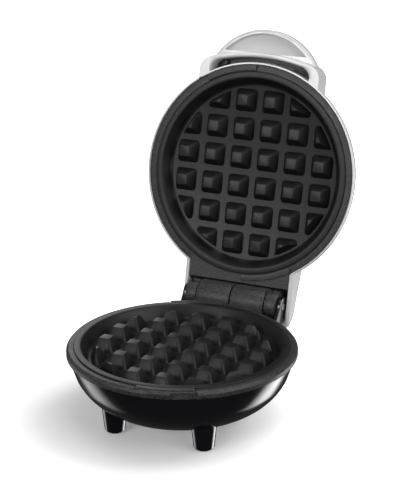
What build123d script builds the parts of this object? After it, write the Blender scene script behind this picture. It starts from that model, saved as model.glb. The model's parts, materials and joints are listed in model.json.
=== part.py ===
from build123d import *
import math
import os

# Overall sizes, in millimetres. The bowl's axis is X = 0, Y = 0 and the floor is Z = 0.
bezelOuterRadius = 63.5
partingZ = 45.0
openAngle = 104.0
rimGap = 0.3
wall = 2.2
fit = 0.15
seatGap = 0.05

# Bezel ring of the base and black ring of the lid
bezelTopRadius = bezelOuterRadius - 1.3
bezelBevelHeight = 1.6
ringStep = 0.8
ringThickness = 2.2
segmentAngle = 29.0
segmentStart = 1.5
seamGap = 0.5
catchStart = 8.0
catchTabAngle = 11.0
catchNotchAngle = 12.5
catchNotchDepth = 0.9
catchTabProud = 0.4

# Lower housing, a shallow bowl of revolution
bowlBottomZ = 10.5
bowlRimRadius = bezelOuterRadius - 1.3
bowlRimZ = partingZ - 5.7
bowlShoulderRadius = bowlRimRadius - 3.8
bowlShoulderZ = bowlRimZ - 11.3
bowlFlatRadius = bowlRimRadius * 0.611

# Feet, moulded with the bowl, and their rubber pads
footX = bowlFlatRadius * 0.697
frontFootY = -bowlFlatRadius * 0.81
frontFootTop = bowlBottomZ + 5.5
rearFootX = bowlFlatRadius * 0.579
rearFootY = bowlRimRadius - 7.2
rearFootTop = bowlShoulderZ + 1.0
footTopRadius = 7.2
footBottomRadius = 5.6
padRadius = 4.4
padHeight = 1.4
padRecess = 0.8

# Cast cooking plates
rimOuterRadius = bezelTopRadius - 2.9
rimInnerRadius = rimOuterRadius - 4.0
plateWall = 2.4
cavityDepth = 7.4
cavityFloorRadius = rimInnerRadius - 3.1
pinClipRadius = cavityFloorRadius - 1.9
pinPitch = pinClipRadius * 0.335
pinBase = pinPitch * 0.795
pinTop = pinPitch * 0.38
pinHeight = cavityDepth - 0.4
pinCount = 6
pinCore = 3.0

# Plate posts, heat shield and heating element
postRadius = 3.4
postLength = 7.0
postCircle = pinPitch * 1.424
postAngles = (90, 210, 330)
shieldThickness = 0.6
shieldRadius = cavityFloorRadius - 5.6
shieldRimHeight = postLength - 0.4
clampAngles = (30, 150, 270)
clampWidth = 9.0
spigotOuterRadius = rimOuterRadius - 0.35
spigotInnerRadius = spigotOuterRadius - 0.9
spigotDepth = 8.5
elementRingRadius = cavityFloorRadius * 0.728
elementRadius = 3.1
elementSweep = 312.0
coldPinRadius = 1.4
coldPinLength = 9.0

# Screws
screwRadius = 1.5
screwHeadRadius = 3.0
screwHeadHeight = 2.0
screwHoleGap = 0.15

# Hinge
hingeY = bezelOuterRadius + 10.8
hingeZ = partingZ - 2.0
sleeveRadius = 9.2
sleeveHalfWidth = 21.0
sleeveSplit = 0.8
lidBossRadius = sleeveRadius - 0.6
lidBossWidth = 6.5
hingeSideGap = 0.5
earWidth = 2.4
earRadius = 5.6
pinRadius = 2.0
pinRunningGap = 0.06
reliefRadius = sleeveRadius + 1.1
bracketGap = 0.2
stopGap = 1.6
coreHoleSides = (5.2, 3.2)

# Lid cover
coverRadius = bezelOuterRadius + 0.9
coverHeight = 28.5
skirtWall = 0.9
skirtHeight = 3.5
tailHalfWidth = 34.0
tailWall = 2.2
tailOuterRadius = reliefRadius + 2.3
tailRise = coverHeight * 0.614
neckRise = coverHeight * 0.42
tailStartY = coverRadius * 0.745

# Handle
handleTopZ = 16.0
handleTopRound = 3.0
gripRadius = 36.5
gripUnderZ = 8.0
gripRecessZ = 12.0
lipWall = 2.3
trayHalfWidth = 37.2
trayFrontY = -coverRadius - 5.7
gripCentreY = trayFrontY + 22.7
trayLength = 40.0
bandWall = 2.6
pocketHalfWidth = trayHalfWidth - 6.2
pocketDepth = 13.0
linerFloor = 1.0
bossSide = 3.4

# Thermostat, fuse, terminal block and cord inlet
thermostatRadius = 8.0
thermostatHeight = 9.0
fuseRadius = 2.2
fuseLength = 14.0
fusePlace = (postCircle * 0.875, postCircle * 0.583)
blockSize = (14.0, 10.0, 9.0)
blockPlace = (-postCircle * 0.708, postCircle * 0.542)
inletZ = bowlBottomZ + 10.0
inletBossRadius = 7.0
inletBoreRadius = 4.6
inletCordRadius = 2.9
inletEndY = bowlRimRadius - 4.2
inletFlange = 1.6

# Indicator on the lid
lensRadius = 3.4
lensY = -coverRadius * 0.528
lensTopZ = coverHeight - 2.5
lensFlange = 0.8
lampRadius = 1.4
lampLength = 8.0


def ringSolid(points):
    """Turn a closed (radius, height) outline about the Z axis."""
    profile = Polyline(*[(r, 0, z) for r, z in points], close=True)
    return revolve(make_face(profile), Axis.Z)


def bowlFace(inset):
    """Bowl outline from the axis out to its rim, moved inwards by one wall."""
    flat = (bowlFlatRadius - inset * 0.35, 0, bowlBottomZ + inset)
    shoulder = (bowlShoulderRadius - inset * 0.95, 0, bowlShoulderZ + inset * 0.45)
    span = bowlShoulderRadius - bowlFlatRadius
    rise = bowlShoulderZ - bowlBottomZ
    middle = (bowlFlatRadius + span * 0.696 - inset * 0.78, 0, bowlBottomZ + rise * 0.491 + inset * 0.68)
    rim = (bowlRimRadius - inset, 0, bowlRimZ)
    edges = [
        Line((0, 0, bowlBottomZ + inset), flat),
        ThreePointArc(flat, middle, shoulder),
        Line(shoulder, rim),
        Line(rim, (0, 0, bowlRimZ)),
        Line((0, 0, bowlRimZ), (0, 0, bowlBottomZ + inset)),
    ]
    return make_face(edges)


def at(x, y, z=0.0):
    return Pos(x, y, z)


def upright(radius, height):
    return Cylinder(radius, height, align=(Align.CENTER, Align.CENTER, Align.MIN))


def alongX(radius, x0, x1):
    return Pos((x0 + x1) / 2, hingeY, hingeZ) * Rot(0, 90, 0) * Cylinder(radius, x1 - x0)


def block(x0, x1, y0, y1, z0, z1):
    return Pos((x0 + x1) / 2, (y0 + y1) / 2, (z0 + z1) / 2) * Box(x1 - x0, y1 - y0, z1 - z0)


def polar(radius, angle):
    return radius * math.cos(math.radians(angle)), radius * math.sin(math.radians(angle))


def below(depth):
    """Height of a depth under the parting plane."""
    return partingZ - depth


# Depths under the parting plane that the plate, shield and screws share
plateFloorDepth = rimGap + cavityDepth
plateBackDepth = plateFloorDepth + plateWall
postEndDepth = plateBackDepth + postLength
shieldDepth = postEndDepth + shieldThickness
elementDepth = plateBackDepth + seatGap + elementRadius
rimBackDepth = rimGap + plateWall
postPlaces = [polar(postCircle, a) for a in postAngles]
footPlaces = [
    (-footX, frontFootY, frontFootTop), (footX, frontFootY, frontFootTop),
    (-rearFootX, rearFootY, rearFootTop), (rearFootX, rearFootY, rearFootTop),
]


def pinSolid(x, y):
    """One tapered grid pin standing on the cavity floor."""
    foot = Pos(x, y, below(plateFloorDepth)) * RectangleRounded(pinBase, pinBase, 2.2)
    head = Pos(x, y, below(plateFloorDepth - pinHeight)) * RectangleRounded(pinTop, pinTop, 1.1)
    return loft([foot, head], ruled=True)


def cookingPlate():
    """Cast plate with its grid of pins, seen from the cooking side as the lower one."""
    body = ringSolid([
        (0, below(plateFloorDepth)),
        (cavityFloorRadius, below(plateFloorDepth)),
        (rimInnerRadius, below(rimGap)),
        (rimOuterRadius, below(rimGap)),
        (rimOuterRadius, below(rimBackDepth)),
        (rimInnerRadius + plateWall, below(rimBackDepth)),
        (cavityFloorRadius + plateWall, below(plateBackDepth)),
        (0, below(plateBackDepth)),
    ])
    clip = Pos(0, 0, below(plateFloorDepth)) * Cone(
        pinClipRadius, pinClipRadius - 3.2, pinHeight, align=(Align.CENTER, Align.CENTER, Align.MIN))
    pins = []
    cores = []
    for row in range(pinCount):
        for column in range(pinCount):
            x = (column - (pinCount - 1) / 2) * pinPitch
            y = (row - (pinCount - 1) / 2) * pinPitch
            nearest = math.hypot(max(abs(x) - pinBase / 2, 0), max(abs(y) - pinBase / 2, 0))
            farthest = math.hypot(abs(x) + pinBase / 2, abs(y) + pinBase / 2)
            if nearest > pinClipRadius - 4.0:
                continue
            pin = pinSolid(x, y)
            pins.append(pin if farthest < pinClipRadius - 3.2 else pin & clip)
            if farthest < pinClipRadius + 2:
                cores.append(coreSolid(x, y))
    posts = [at(x, y, below(postEndDepth)) * upright(postRadius, postLength) for x, y in postPlaces]
    bores = [at(x, y, below(postEndDepth)) * upright(screwRadius + screwHoleGap, postLength + plateWall - 1.4)
             for x, y in postPlaces]
    plate = body + pins + posts
    return plate - [c for c in cores if clearOfPosts(c)] - bores


def coreSolid(x, y):
    """Hollow under a pin, open at the back of the casting."""
    foot = Pos(x, y, below(plateBackDepth)) * Rectangle(pinBase - pinCore, pinBase - pinCore)
    head = Pos(x, y, below(plateFloorDepth - pinHeight + pinCore)) * Rectangle(pinTop - 2.0, pinTop - 2.0)
    return loft([foot, head], ruled=True)


def clearOfPosts(core):
    box = core.bounding_box()
    for x, y in postPlaces:
        dx = max(box.min.X - x, 0, x - box.max.X)
        dy = max(box.min.Y - y, 0, y - box.max.Y)
        if math.hypot(dx, dy) < postRadius + 0.5:
            return False
    return True


def ringBody(outer):
    """Ledge and spigot that carry a plate, inside an outer ring outline."""
    return ringSolid(outer + [
        (spigotOuterRadius, below(rimBackDepth + ringThickness)),
        (spigotOuterRadius, below(spigotDepth)),
        (spigotInnerRadius, below(spigotDepth)),
        (spigotInnerRadius, below(rimBackDepth + seatGap)),
        (rimOuterRadius + fit, below(rimBackDepth + seatGap)),
        (rimOuterRadius + fit, below(rimGap + ringStep)),
    ])


def sector(inner, outer, start, sweep, z0, z1):
    """Arc block between two radii, from a start angle round by a sweep."""
    corners = [(0, 0)] + [polar(outer * 1.5, start + sweep * k / 4) for k in range(5)]
    arc = (Circle(outer) - Circle(inner)) & make_face(Polyline(*corners, close=True))
    return at(0, 0, z0) * extrude(arc, z1 - z0)


def raisedSegments(outerRadius, side):
    """Two arc pads, flush with the plate rim, half a turn apart, the front one towards side."""
    first = segmentStart if side > 0 else -segmentStart - segmentAngle
    pads = [sector(rimOuterRadius + fit, outerRadius, base + first, segmentAngle,
                   below(rimGap + ringStep + 0.2), below(rimGap)) for base in (-90, 90)]
    return pads[0] + pads[1]


def heatShield():
    """Pressed dish behind a plate, with three bent ears that hold the plate in its ring."""
    floor = at(0, 0, below(shieldDepth)) * upright(shieldRadius, shieldThickness)
    wallRing = ringSolid([
        (shieldRadius - shieldThickness, below(shieldDepth)),
        (shieldRadius, below(shieldDepth)),
        (shieldRadius, below(shieldDepth - shieldRimHeight)),
        (shieldRadius - shieldThickness, below(shieldDepth - shieldRimHeight)),
    ])
    earDepth = shieldDepth - shieldRimHeight
    bend = cavityFloorRadius + plateWall + 1.7
    ears = []
    for angle in clampAngles:
        strip = block(shieldRadius - shieldThickness, bend + shieldThickness, -clampWidth / 2, clampWidth / 2,
                      below(earDepth + shieldThickness), below(earDepth))
        riser = block(bend, bend + shieldThickness, -clampWidth / 2, clampWidth / 2,
                      below(earDepth), below(spigotDepth + seatGap))
        foot = block(bend, spigotOuterRadius - 0.6, -clampWidth / 2, clampWidth / 2,
                     below(spigotDepth + seatGap + shieldThickness), below(spigotDepth + seatGap))
        ears.append(Rot(0, 0, angle) * (strip + riser + foot))
    holes = [at(x, y, below(shieldDepth + 1)) * upright(screwRadius + screwHoleGap, 3) for x, y in postPlaces]
    centre = at(0, 0, below(shieldDepth + 1)) * upright(thermostatRadius + 1.2, 3)
    return floor + wallRing + ears - holes - centre


def heatingElement():
    """Sheathed element bent to a broken ring, with a cold pin at each end."""
    start = -90 - elementSweep / 2 + 180
    profile = Plane(origin=(elementRingRadius, 0, below(elementDepth)), x_dir=(1, 0, 0), z_dir=(0, -1, 0))
    ring = Rot(0, 0, start) * revolve(profile * Circle(elementRadius), Axis.Z, elementSweep)
    pins = []
    for angle, turn in ((start, -90), (start + elementSweep, 90)):
        x, y = polar(elementRingRadius, angle)
        lead = Pos(x, y, below(elementDepth)) * Rot(0, 0, angle + turn) * Rot(0, 90, 0)
        pins.append(lead * Cylinder(coldPinRadius, coldPinLength, align=(Align.CENTER, Align.CENTER, Align.MIN)))
    return ring + pins


def screw(length):
    """Pan-head screw, head down, its seat at Z = 0."""
    head = Pos(0, 0, -screwHeadHeight) * upright(screwHeadRadius, screwHeadHeight)
    head = fillet(head.edges().sort_by(Axis.Z)[0], 0.9)
    slot = block(-2.0, 2.0, -0.4, 0.4, -screwHeadHeight, -screwHeadHeight + 0.9)
    slot += Rot(0, 0, 90) * slot
    shank = upright(screwRadius, length)
    return head + shank - slot


# Base pieces

def lowerHousing():
    bowl = revolve(bowlFace(0), Axis.Z)
    feet = [at(x, y, padHeight - padRecess) * Cone(
        footBottomRadius, footTopRadius, top - padHeight + padRecess,
        align=(Align.CENTER, Align.CENTER, Align.MIN)) for x, y, top in footPlaces]
    bracketTop = hingeZ - sleeveRadius - bracketGap
    bracketProfile = make_face(Polyline(
        (0, bowlRimRadius - 16.2, bracketTop - 12.6), (0, bowlRimRadius - 4.2, bracketTop - 6.6),
        (0, hingeY - 4.5, bracketTop - 2.6), (0, hingeY - stopGap, bracketTop - 1.0),
        (0, hingeY - stopGap, bracketTop), (0, bowlRimRadius - 16.2, bracketTop), close=True))
    halfWidth = sleeveHalfWidth + hingeSideGap * 2 + lidBossWidth + earWidth
    bracket = extrude(bracketProfile, halfWidth, dir=(1, 0, 0)) + extrude(bracketProfile, halfWidth, dir=(-1, 0, 0))
    ears = []
    for side in (-1, 1):
        x0 = side * (halfWidth - earWidth)
        x1 = side * halfWidth
        cheek = make_face(Polyline(
            (0, bowlRimRadius - 4.2, hingeZ - 13.0), (0, hingeY - 2.0, hingeZ - 10.0),
            (0, hingeY + earRadius * 0.7, hingeZ - earRadius * 0.72),
            (0, hingeY - earRadius * 0.5, hingeZ + earRadius * 0.86),
            (0, bowlRimRadius + 2.0, bowlRimZ - 0.7), (0, bowlRimRadius - 4.2, bowlRimZ - 0.7), close=True))
        sheet = extrude(cheek, earWidth, dir=(side, 0, 0))
        ears.append(Pos(x0, 0, 0) * sheet)
        ears.append(alongX(earRadius, min(x0, x1), max(x0, x1)))
    inletBoss = Pos(0, inletEndY, inletZ) * Rot(90, 0, 0) * upright(inletBossRadius, 14)
    outside = bowl + feet + bracket + ears + inletBoss
    housing = outside - revolve(bowlFace(wall), Axis.Z)
    housing -= ringSolid([(0, bowlRimZ - 0.01), (bezelTopRadius + 1.0, bowlRimZ - 0.01),
                          (bezelTopRadius + 1.0, below(0)), (0, below(0))])
    posts = [at(x, y, bowlBottomZ + 1) * upright(postRadius + 0.9, below(shieldDepth + seatGap) - bowlBottomZ - 1)
             for x, y in postPlaces]
    housing += posts
    cuts = [alongX(pinRadius, -halfWidth - 1, halfWidth + 1)]
    for x, y in postPlaces:
        cuts.append(at(x, y, 0) * upright(screwRadius + screwHoleGap, below(0)))
        cuts.append(at(x, y, 0) * upright(screwHeadRadius + 0.5, bowlBottomZ + screwHeadHeight + 0.8))
    for x, y, top in footPlaces:
        cuts.append(at(x, y, 0) * upright(padRadius + fit / 2, padHeight))
    cuts.append(Pos(0, inletEndY + 1, inletZ) * Rot(90, 0, 0) * upright(inletBoreRadius, 20))
    return housing - cuts


def baseBezel():
    top = below(rimGap + ringStep)
    bottom = bowlRimZ + seamGap
    ring = ringBody([
        (bezelTopRadius - 1.2, top),
        (bezelTopRadius, top),
        (bezelOuterRadius, top - bezelBevelHeight),
        (bezelOuterRadius, bottom),
        (bezelOuterRadius - 2.2, bottom),
        (bezelOuterRadius - 2.2, below(rimBackDepth + ringThickness)),
    ])
    ring += raisedSegments(bezelTopRadius, 1)
    # Small catch tab on the front edge, with a shallow notch beside it
    ring += sector(bezelTopRadius - 0.5, bezelOuterRadius + catchTabProud, -90 + catchStart, catchTabAngle,
                   bottom + 1.2, top - 0.9)
    ring -= sector(bezelOuterRadius - catchNotchDepth, bezelOuterRadius + 2, -90 + catchStart + catchTabAngle,
                   catchNotchAngle, bottom + 0.9, below(0))
    seat = ringSolid([
        (bowlRimRadius - wall, bowlRimZ + seatGap), (bowlRimRadius - 0.8, bowlRimZ + seatGap),
        (bowlRimRadius - 0.8, bottom + 0.2), (bowlRimRadius - wall, bottom + 0.2)])
    ring += seat
    webProfile = make_face(Polyline(
        (0, bezelOuterRadius - 1.9, bowlRimZ + 1.1), (0, hingeY - 8.0, hingeZ - 7.6),
        (0, hingeY - 1.0, hingeZ - sleeveRadius + 0.8), (0, hingeY - 1.0, hingeZ),
        (0, hingeY - sleeveRadius + 1, hingeZ + 0.6), (0, bezelOuterRadius - 1.9, hingeZ + 0.6), close=True))
    for x0, x1 in ((-sleeveHalfWidth, -sleeveSplit / 2), (sleeveSplit / 2, sleeveHalfWidth)):
        web = Pos(x0, 0, 0) * extrude(webProfile, x1 - x0, dir=(1, 0, 0))
        ring += web + alongX(sleeveRadius, x0, x1)
    return ring - alongX(pinRadius, -sleeveHalfWidth - 1, sleeveHalfWidth + 1)


def thermostat():
    can = at(0, 0, below(plateBackDepth + seatGap + thermostatHeight)) * upright(thermostatRadius, thermostatHeight)
    can = fillet(can.edges().sort_by(Axis.Z)[0], 1.0)
    tags = block(-thermostatRadius + 1, -thermostatRadius + 1.8, -3, 3,
                 below(plateBackDepth + thermostatHeight + 5), below(plateBackDepth + thermostatHeight - 1))
    return can + tags + Rot(0, 0, 180) * tags


def thermalFuse():
    z = below(shieldDepth + seatGap + fuseRadius)
    body = Pos(*fusePlace, z) * Rot(0, 90, 0) * Cylinder(fuseRadius, fuseLength)
    leads = Pos(*fusePlace, z) * Rot(0, 90, 0) * Cylinder(0.6, fuseLength + 8)
    return body + leads


def terminalBlock():
    x, y = blockPlace
    lx, ly, lz = blockSize
    z0 = bowlBottomZ + wall + seatGap
    body = block(x - lx / 2, x + lx / 2, y - ly / 2, y + ly / 2, z0, z0 + lz)
    for k in (-1, 0, 1):
        body -= at(x + k * lx / 3, y, z0 + lz - 3) * upright(1.3, 4)
    return body


def cordInlet():
    """Bush in the rear of the bowl where a supply cord enters."""
    body = Rot(90, 0, 0) * upright(inletBoreRadius - fit, 11)
    flange = Rot(-90, 0, 0) * upright(inletBossRadius - 0.6, inletFlange)
    bush = body + flange - Rot(90, 0, 0) * Cylinder(inletCordRadius, 40)
    return Pos(0, inletEndY + seatGap, inletZ) * bush


def footPads():
    pads = []
    for x, y, top in footPlaces:
        pad = at(x, y, 0) * upright(padRadius, padHeight)
        pads.append(chamfer(pad.edges().sort_by(Axis.Z)[0], 0.4))
    return pads


def housingScrews():
    seat = bowlBottomZ + screwHeadHeight + 0.8
    length = below(plateBackDepth - 1.0) - seat - 1.2
    return [at(x, y, seat) * screw(length) for x, y in postPlaces]


def hingePin():
    half = sleeveHalfWidth + hingeSideGap * 2 + lidBossWidth + earWidth
    return alongX(pinRadius, -half, half)


# Lid pieces, shaped closed on the base and turned open about the hinge at the end

def upsideDown(shape):
    return mirror(shape, about=Plane(origin=(0, 0, partingZ), z_dir=(0, 0, 1)))


def opened(shape):
    return shape.rotate(Axis((0, hingeY, hingeZ), (1, 0, 0)), -openAngle)


def domeFace(inset):
    """Half outline of the cover from its rim up to the middle."""
    rim = coverRadius - (skirtWall if inset else 0)
    pts = [(0.977, 0.281), (0.936, 0.421), (0.868, 0.561), (0.755, 0.709), (0.567, 0.856), (0.295, 0.965)]
    shift = [(0.95, 0.3), (0.83, 0.56), (0.67, 0.74), (0.44, 0.9), (0.26, 0.96), (0.12, 0.99)]
    curve = [(r * coverRadius - inset * a, 0, partingZ + z * coverHeight - inset * b)
             for (r, z), (a, b) in zip(pts, shift)]
    top = (0, 0, partingZ + coverHeight - inset)
    foot = (rim, 0, partingZ + rimGap - (1 if inset else 0))
    spline = Spline((rim - (inset - skirtWall if inset else 0), 0, partingZ + skirtHeight), *curve, top,
                    tangents=((0, 0, 1), (-1, 0, 0)))
    edges = [Line(foot, (rim, 0, partingZ + skirtHeight))]
    if inset:
        edges.append(Line((rim, 0, partingZ + skirtHeight), (rim - inset + skirtWall, 0, partingZ + skirtHeight)))
    edges += [spline, Line(top, (0, 0, foot[2])), Line((0, 0, foot[2]), foot)]
    return make_face(edges)


def slab(outline, z0, z1):
    return at(0, 0, partingZ + z0) * extrude(outline, z1 - z0)


def softTop(solid):
    return fillet(solid.edges().group_by(Axis.Z)[-1], handleTopRound)


def tailProfile(radius, rise, foot):
    """Side view of the tail, an arc about the hinge that runs forward into the dome."""
    lowZ = partingZ + foot
    startY = hingeY + math.sqrt(radius ** 2 - (lowZ - hingeZ) ** 2)
    mid = (0, hingeY + radius * math.cos(math.radians(50)), hingeZ + radius * math.sin(math.radians(50)))
    edges = [
        Line((0, tailStartY, lowZ), (0, startY, lowZ)),
        ThreePointArc((0, startY, lowZ), mid, (0, hingeY, hingeZ + radius)),
        Line((0, hingeY, hingeZ + radius), (0, tailStartY, partingZ + rise)),
        Line((0, tailStartY, partingZ + rise), (0, tailStartY, lowZ)),
    ]
    return make_face(edges)


def lidCover():
    dome = revolve(domeFace(0), Axis.Z)
    tray = RectangleRounded(2 * trayHalfWidth, trayLength, 9.0)
    tray = slab(Pos(0, trayFrontY + trayLength / 2) * tray, rimGap, handleTopZ)
    grip = slab(Pos(0, gripCentreY) * Circle(gripRadius), gripUnderZ, handleTopZ)
    handle = softTop(tray) + softTop(grip)
    handle -= at(0, 0, partingZ) * upright(coverRadius - 4.0, handleTopZ + 1)
    tailOut = tailProfile(tailOuterRadius, tailRise, rimGap)
    tail = extrude(tailOut, tailHalfWidth, dir=(1, 0, 0)) + extrude(tailOut, tailHalfWidth, dir=(-1, 0, 0))
    cover = dome + handle + tail
    inside = revolve(domeFace(wall), Axis.Z)
    tailIn = tailProfile(tailOuterRadius - tailWall, tailRise - tailWall * 1.05, rimGap - 2.0)
    room = extrude(tailIn, tailHalfWidth - tailWall, dir=(1, 0, 0)) + extrude(tailIn, tailHalfWidth - tailWall, dir=(-1, 0, 0))
    cover -= inside + room
    pocket = RectangleRounded(2 * pocketHalfWidth, trayLength, 7.0)
    pocket = slab(Pos(0, trayFrontY + bandWall + trayLength / 2) * pocket, -1.0, pocketDepth)
    pocket -= at(0, 0, partingZ - 2) * upright(coverRadius, handleTopZ + 4)
    moon = slab(Pos(0, gripCentreY) * Circle(gripRadius - lipWall), gripUnderZ - 1.0, gripRecessZ)
    moon &= block(-gripRadius, gripRadius, trayFrontY - gripRadius, trayFrontY, partingZ, partingZ + handleTopZ)
    lensHole = at(0, lensY, partingZ + 15) * upright(lensRadius + fit / 2, 20)
    return cover - pocket - moon - lensHole


def neckSolid():
    """Dark tray between ring and hinge, with a hollow round the base sleeves."""
    profile = tailProfile(tailOuterRadius - tailWall - fit, neckRise, rimGap + ringStep)
    half = tailHalfWidth - tailWall - fit
    return extrude(profile, half, dir=(1, 0, 0)) + extrude(profile, half, dir=(-1, 0, 0))


def lidInnerHousing():
    # Ring outline is the base one turned over, so it is written as depths and mirrored
    ring = ringBody([
        (coverRadius - skirtWall - fit, below(rimGap + ringStep)),
        (coverRadius - skirtWall - fit, below(rimGap + ringStep + ringThickness)),
        (coverRadius - wall - fit, below(rimGap + ringStep + ringThickness)),
    ])
    ring += raisedSegments(coverRadius - skirtWall - fit, -1)
    ring = upsideDown(ring)
    neck = neckSolid()
    # The middle of the ring stays open for the plate, and the neck starts behind the spigot
    neck -= at(0, 0, partingZ - 5) * upright(rimOuterRadius + fit, 40)
    housing = ring + neck
    housing -= alongX(reliefRadius, -tailHalfWidth, tailHalfWidth)
    bosses = []
    for side in (-1, 1):
        x0 = side * (sleeveHalfWidth + hingeSideGap)
        x1 = side * (sleeveHalfWidth + hingeSideGap + lidBossWidth)
        lo, hi = min(x0, x1), max(x0, x1)
        bosses.append(alongX(lidBossRadius, lo, hi))
        bosses.append(block(lo, hi, hingeY - 7.5, hingeY + 7.5, hingeZ + 2.5, hingeZ + 12) & neckSolid())
    housing += bosses
    # Square core holes in the front of the two bosses
    for side, hole in zip((-1, 1), coreHoleSides):
        x = side * (sleeveHalfWidth + hingeSideGap + lidBossWidth / 2)
        z = hingeZ - pinRadius
        housing -= block(x - hole / 2, x + hole / 2, hingeY - lidBossRadius - 2, hingeY - lidBossRadius * 0.6,
                         z - hole / 2, z + hole / 2)
    return housing - alongX(pinRadius + pinRunningGap, -tailHalfWidth, tailHalfWidth)


def handleLiner():
    """Dark insert that lines the pocket behind the handle, with two square bosses."""
    half = pocketHalfWidth - fit
    outline = RectangleRounded(2 * half, trayLength - 2 * fit, 7.0 - fit)
    tray = Pos(0, trayFrontY + bandWall + trayLength / 2) * outline
    tray = slab(tray, pocketDepth - linerFloor - seatGap, pocketDepth - seatGap)
    for side in (-1, 1):
        x = side * (pocketHalfWidth - 5.8)
        tray += block(x - bossSide / 2, x + bossSide / 2, trayFrontY + 5.7, trayFrontY + 8.7,
                      partingZ + 9.0, partingZ + pocketDepth - 0.5)
    return tray - at(0, 0, partingZ - 2) * upright(coverRadius + fit, handleTopZ + 4)


def plateScrews():
    seat = below(shieldDepth)
    return [upsideDown(at(x, y, seat) * screw(postLength - 1.0)) for x, y in postPlaces]


def indicatorLens():
    foot = partingZ + shieldDepth + 2 * (lampRadius + seatGap)
    rod = at(0, lensY, foot) * upright(lensRadius, lensTopZ - (foot - partingZ))
    rod = fillet(rod.edges().sort_by(Axis.Z)[-1], 1.2)
    return rod + at(0, lensY, foot) * upright(lensRadius + 1.0, lensFlange)


def indicatorLamp():
    z = partingZ + shieldDepth + seatGap + lampRadius
    return Pos(0, lensY, z) * Rot(0, 90, 0) * Cylinder(lampRadius, lampLength)


nodes = {
    "lower_housing": lowerHousing(),
    "base_bezel": baseBezel(),
    "lower_cooking_plate": cookingPlate(),
    "lower_heating_element": heatingElement(),
    "lower_heat_shield": heatShield(),
    "thermostat": thermostat(),
    "thermal_fuse": thermalFuse(),
    "terminal_block": terminalBlock(),
    "cord_inlet_bush": cordInlet(),
    "foot_pads": footPads(),
    "housing_screws": housingScrews(),
    "hinge_pin": hingePin(),
    "lid_cover": opened(lidCover()),
    "lid_inner_housing": opened(lidInnerHousing()),
    "handle_pocket_liner": opened(handleLiner()),
    "upper_cooking_plate": opened(upsideDown(cookingPlate())),
    "upper_heating_element": opened(upsideDown(heatingElement())),
    "upper_heat_shield": opened(upsideDown(heatShield())),
    "upper_plate_screws": [opened(s) for s in plateScrews()],
    "indicator_lens": opened(indicatorLens()),
    "indicator_lamp": opened(indicatorLamp()),
}

shapes = {name: Compound(shape) if isinstance(shape, list) else shape for name, shape in nodes.items()}
bounds = Compound(list(shapes.values())).bounding_box()
centreY = (bounds.min.Y + bounds.max.Y) / 2
os.makedirs("parts", exist_ok=True)
for name, shape in shapes.items():
    export_step(Pos(0, -centreY, 0) * shape, "parts/" + name + ".step")
print("hinge axis y", hingeY - centreY, "z", hingeZ, "bowl axis y", -centreY, "height", bounds.max.Z)
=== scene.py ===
import bpy
import bmesh
import json
import math
from mathutils import Matrix, Vector


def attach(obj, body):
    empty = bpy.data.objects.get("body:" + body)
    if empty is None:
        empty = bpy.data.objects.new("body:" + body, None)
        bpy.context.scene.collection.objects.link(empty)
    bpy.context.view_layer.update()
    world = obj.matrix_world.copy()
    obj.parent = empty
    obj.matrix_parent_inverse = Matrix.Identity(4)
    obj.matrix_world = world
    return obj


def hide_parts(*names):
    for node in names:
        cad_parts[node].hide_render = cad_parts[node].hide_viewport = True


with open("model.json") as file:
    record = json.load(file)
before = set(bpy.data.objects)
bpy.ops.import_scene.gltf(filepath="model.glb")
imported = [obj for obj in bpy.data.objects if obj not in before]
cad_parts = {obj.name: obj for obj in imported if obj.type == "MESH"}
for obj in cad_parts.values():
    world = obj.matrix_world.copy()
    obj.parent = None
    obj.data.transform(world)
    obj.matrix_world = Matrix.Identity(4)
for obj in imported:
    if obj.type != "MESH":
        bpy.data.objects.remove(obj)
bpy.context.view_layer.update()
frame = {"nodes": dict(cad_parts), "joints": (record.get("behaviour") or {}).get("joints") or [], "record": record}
print("stage: frame loaded")

mm = 0.001
parting = 45.0  # height of the plane where lid and base meet
hingeY = 74.3  # the hinge axis, measured from the bowl's axis and the floor
hingeZ = 43.0
near = 0.01  # two measures closer than this count as one
openTurn = math.radians(104.0)
hingePoint = Vector(frame["joints"][0]["pos_m"])
bowlY = hingePoint.y - hingeY * mm  # the bowl's own axis stands at X = 0, Y = bowlY


# small helpers, whose lengths are millimetres from the bowl's axis and the floor
def place(x, y, z):
    return Vector((x * mm, y * mm + bowlY, z * mm))


def clearSelection():
    if bpy.context.mode != "OBJECT":
        bpy.ops.object.mode_set(mode="OBJECT")
    bpy.ops.object.select_all(action="DESELECT")


def pickOnly(piece):
    clearSelection()
    piece.select_set(True)
    bpy.context.view_layer.objects.active = piece
    return piece


def freeze(piece):
    # takes the object's own place, turn and scale into its mesh
    pickOnly(piece)
    bpy.ops.object.transform_apply(location=True, rotation=True, scale=True)
    return piece


def named(name):
    piece = bpy.context.active_object
    piece.name = name
    piece.data.name = name
    return freeze(piece)


def modify(piece, kind, **settings):
    pickOnly(piece)
    added = piece.modifiers.new(kind.lower(), kind)
    for key, value in settings.items():
        setattr(added, key, value)
    bpy.ops.object.modifier_apply(modifier=added.name)
    return piece


def combine(piece, tool, operation):
    modify(piece, "BOOLEAN", operation=operation, object=tool, solver="EXACT")
    bpy.data.objects.remove(tool)
    return piece


def cut(piece, tool):
    return combine(piece, tool, "DIFFERENCE")


def weld(piece, tool):
    return combine(piece, tool, "UNION")


def joinAll(name, pieces):
    clearSelection()
    for piece in pieces:
        piece.select_set(True)
    bpy.context.view_layer.objects.active = pieces[0]
    bpy.ops.object.join()
    pieces[0].name = name
    return pieces[0]


def startEdit(piece, mode="VERT"):
    pickOnly(piece)
    bpy.ops.object.mode_set(mode="EDIT")
    bpy.ops.mesh.select_mode(type=mode)
    bpy.ops.mesh.select_all(action="DESELECT")
    return bmesh.from_edit_mesh(piece.data)


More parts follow.
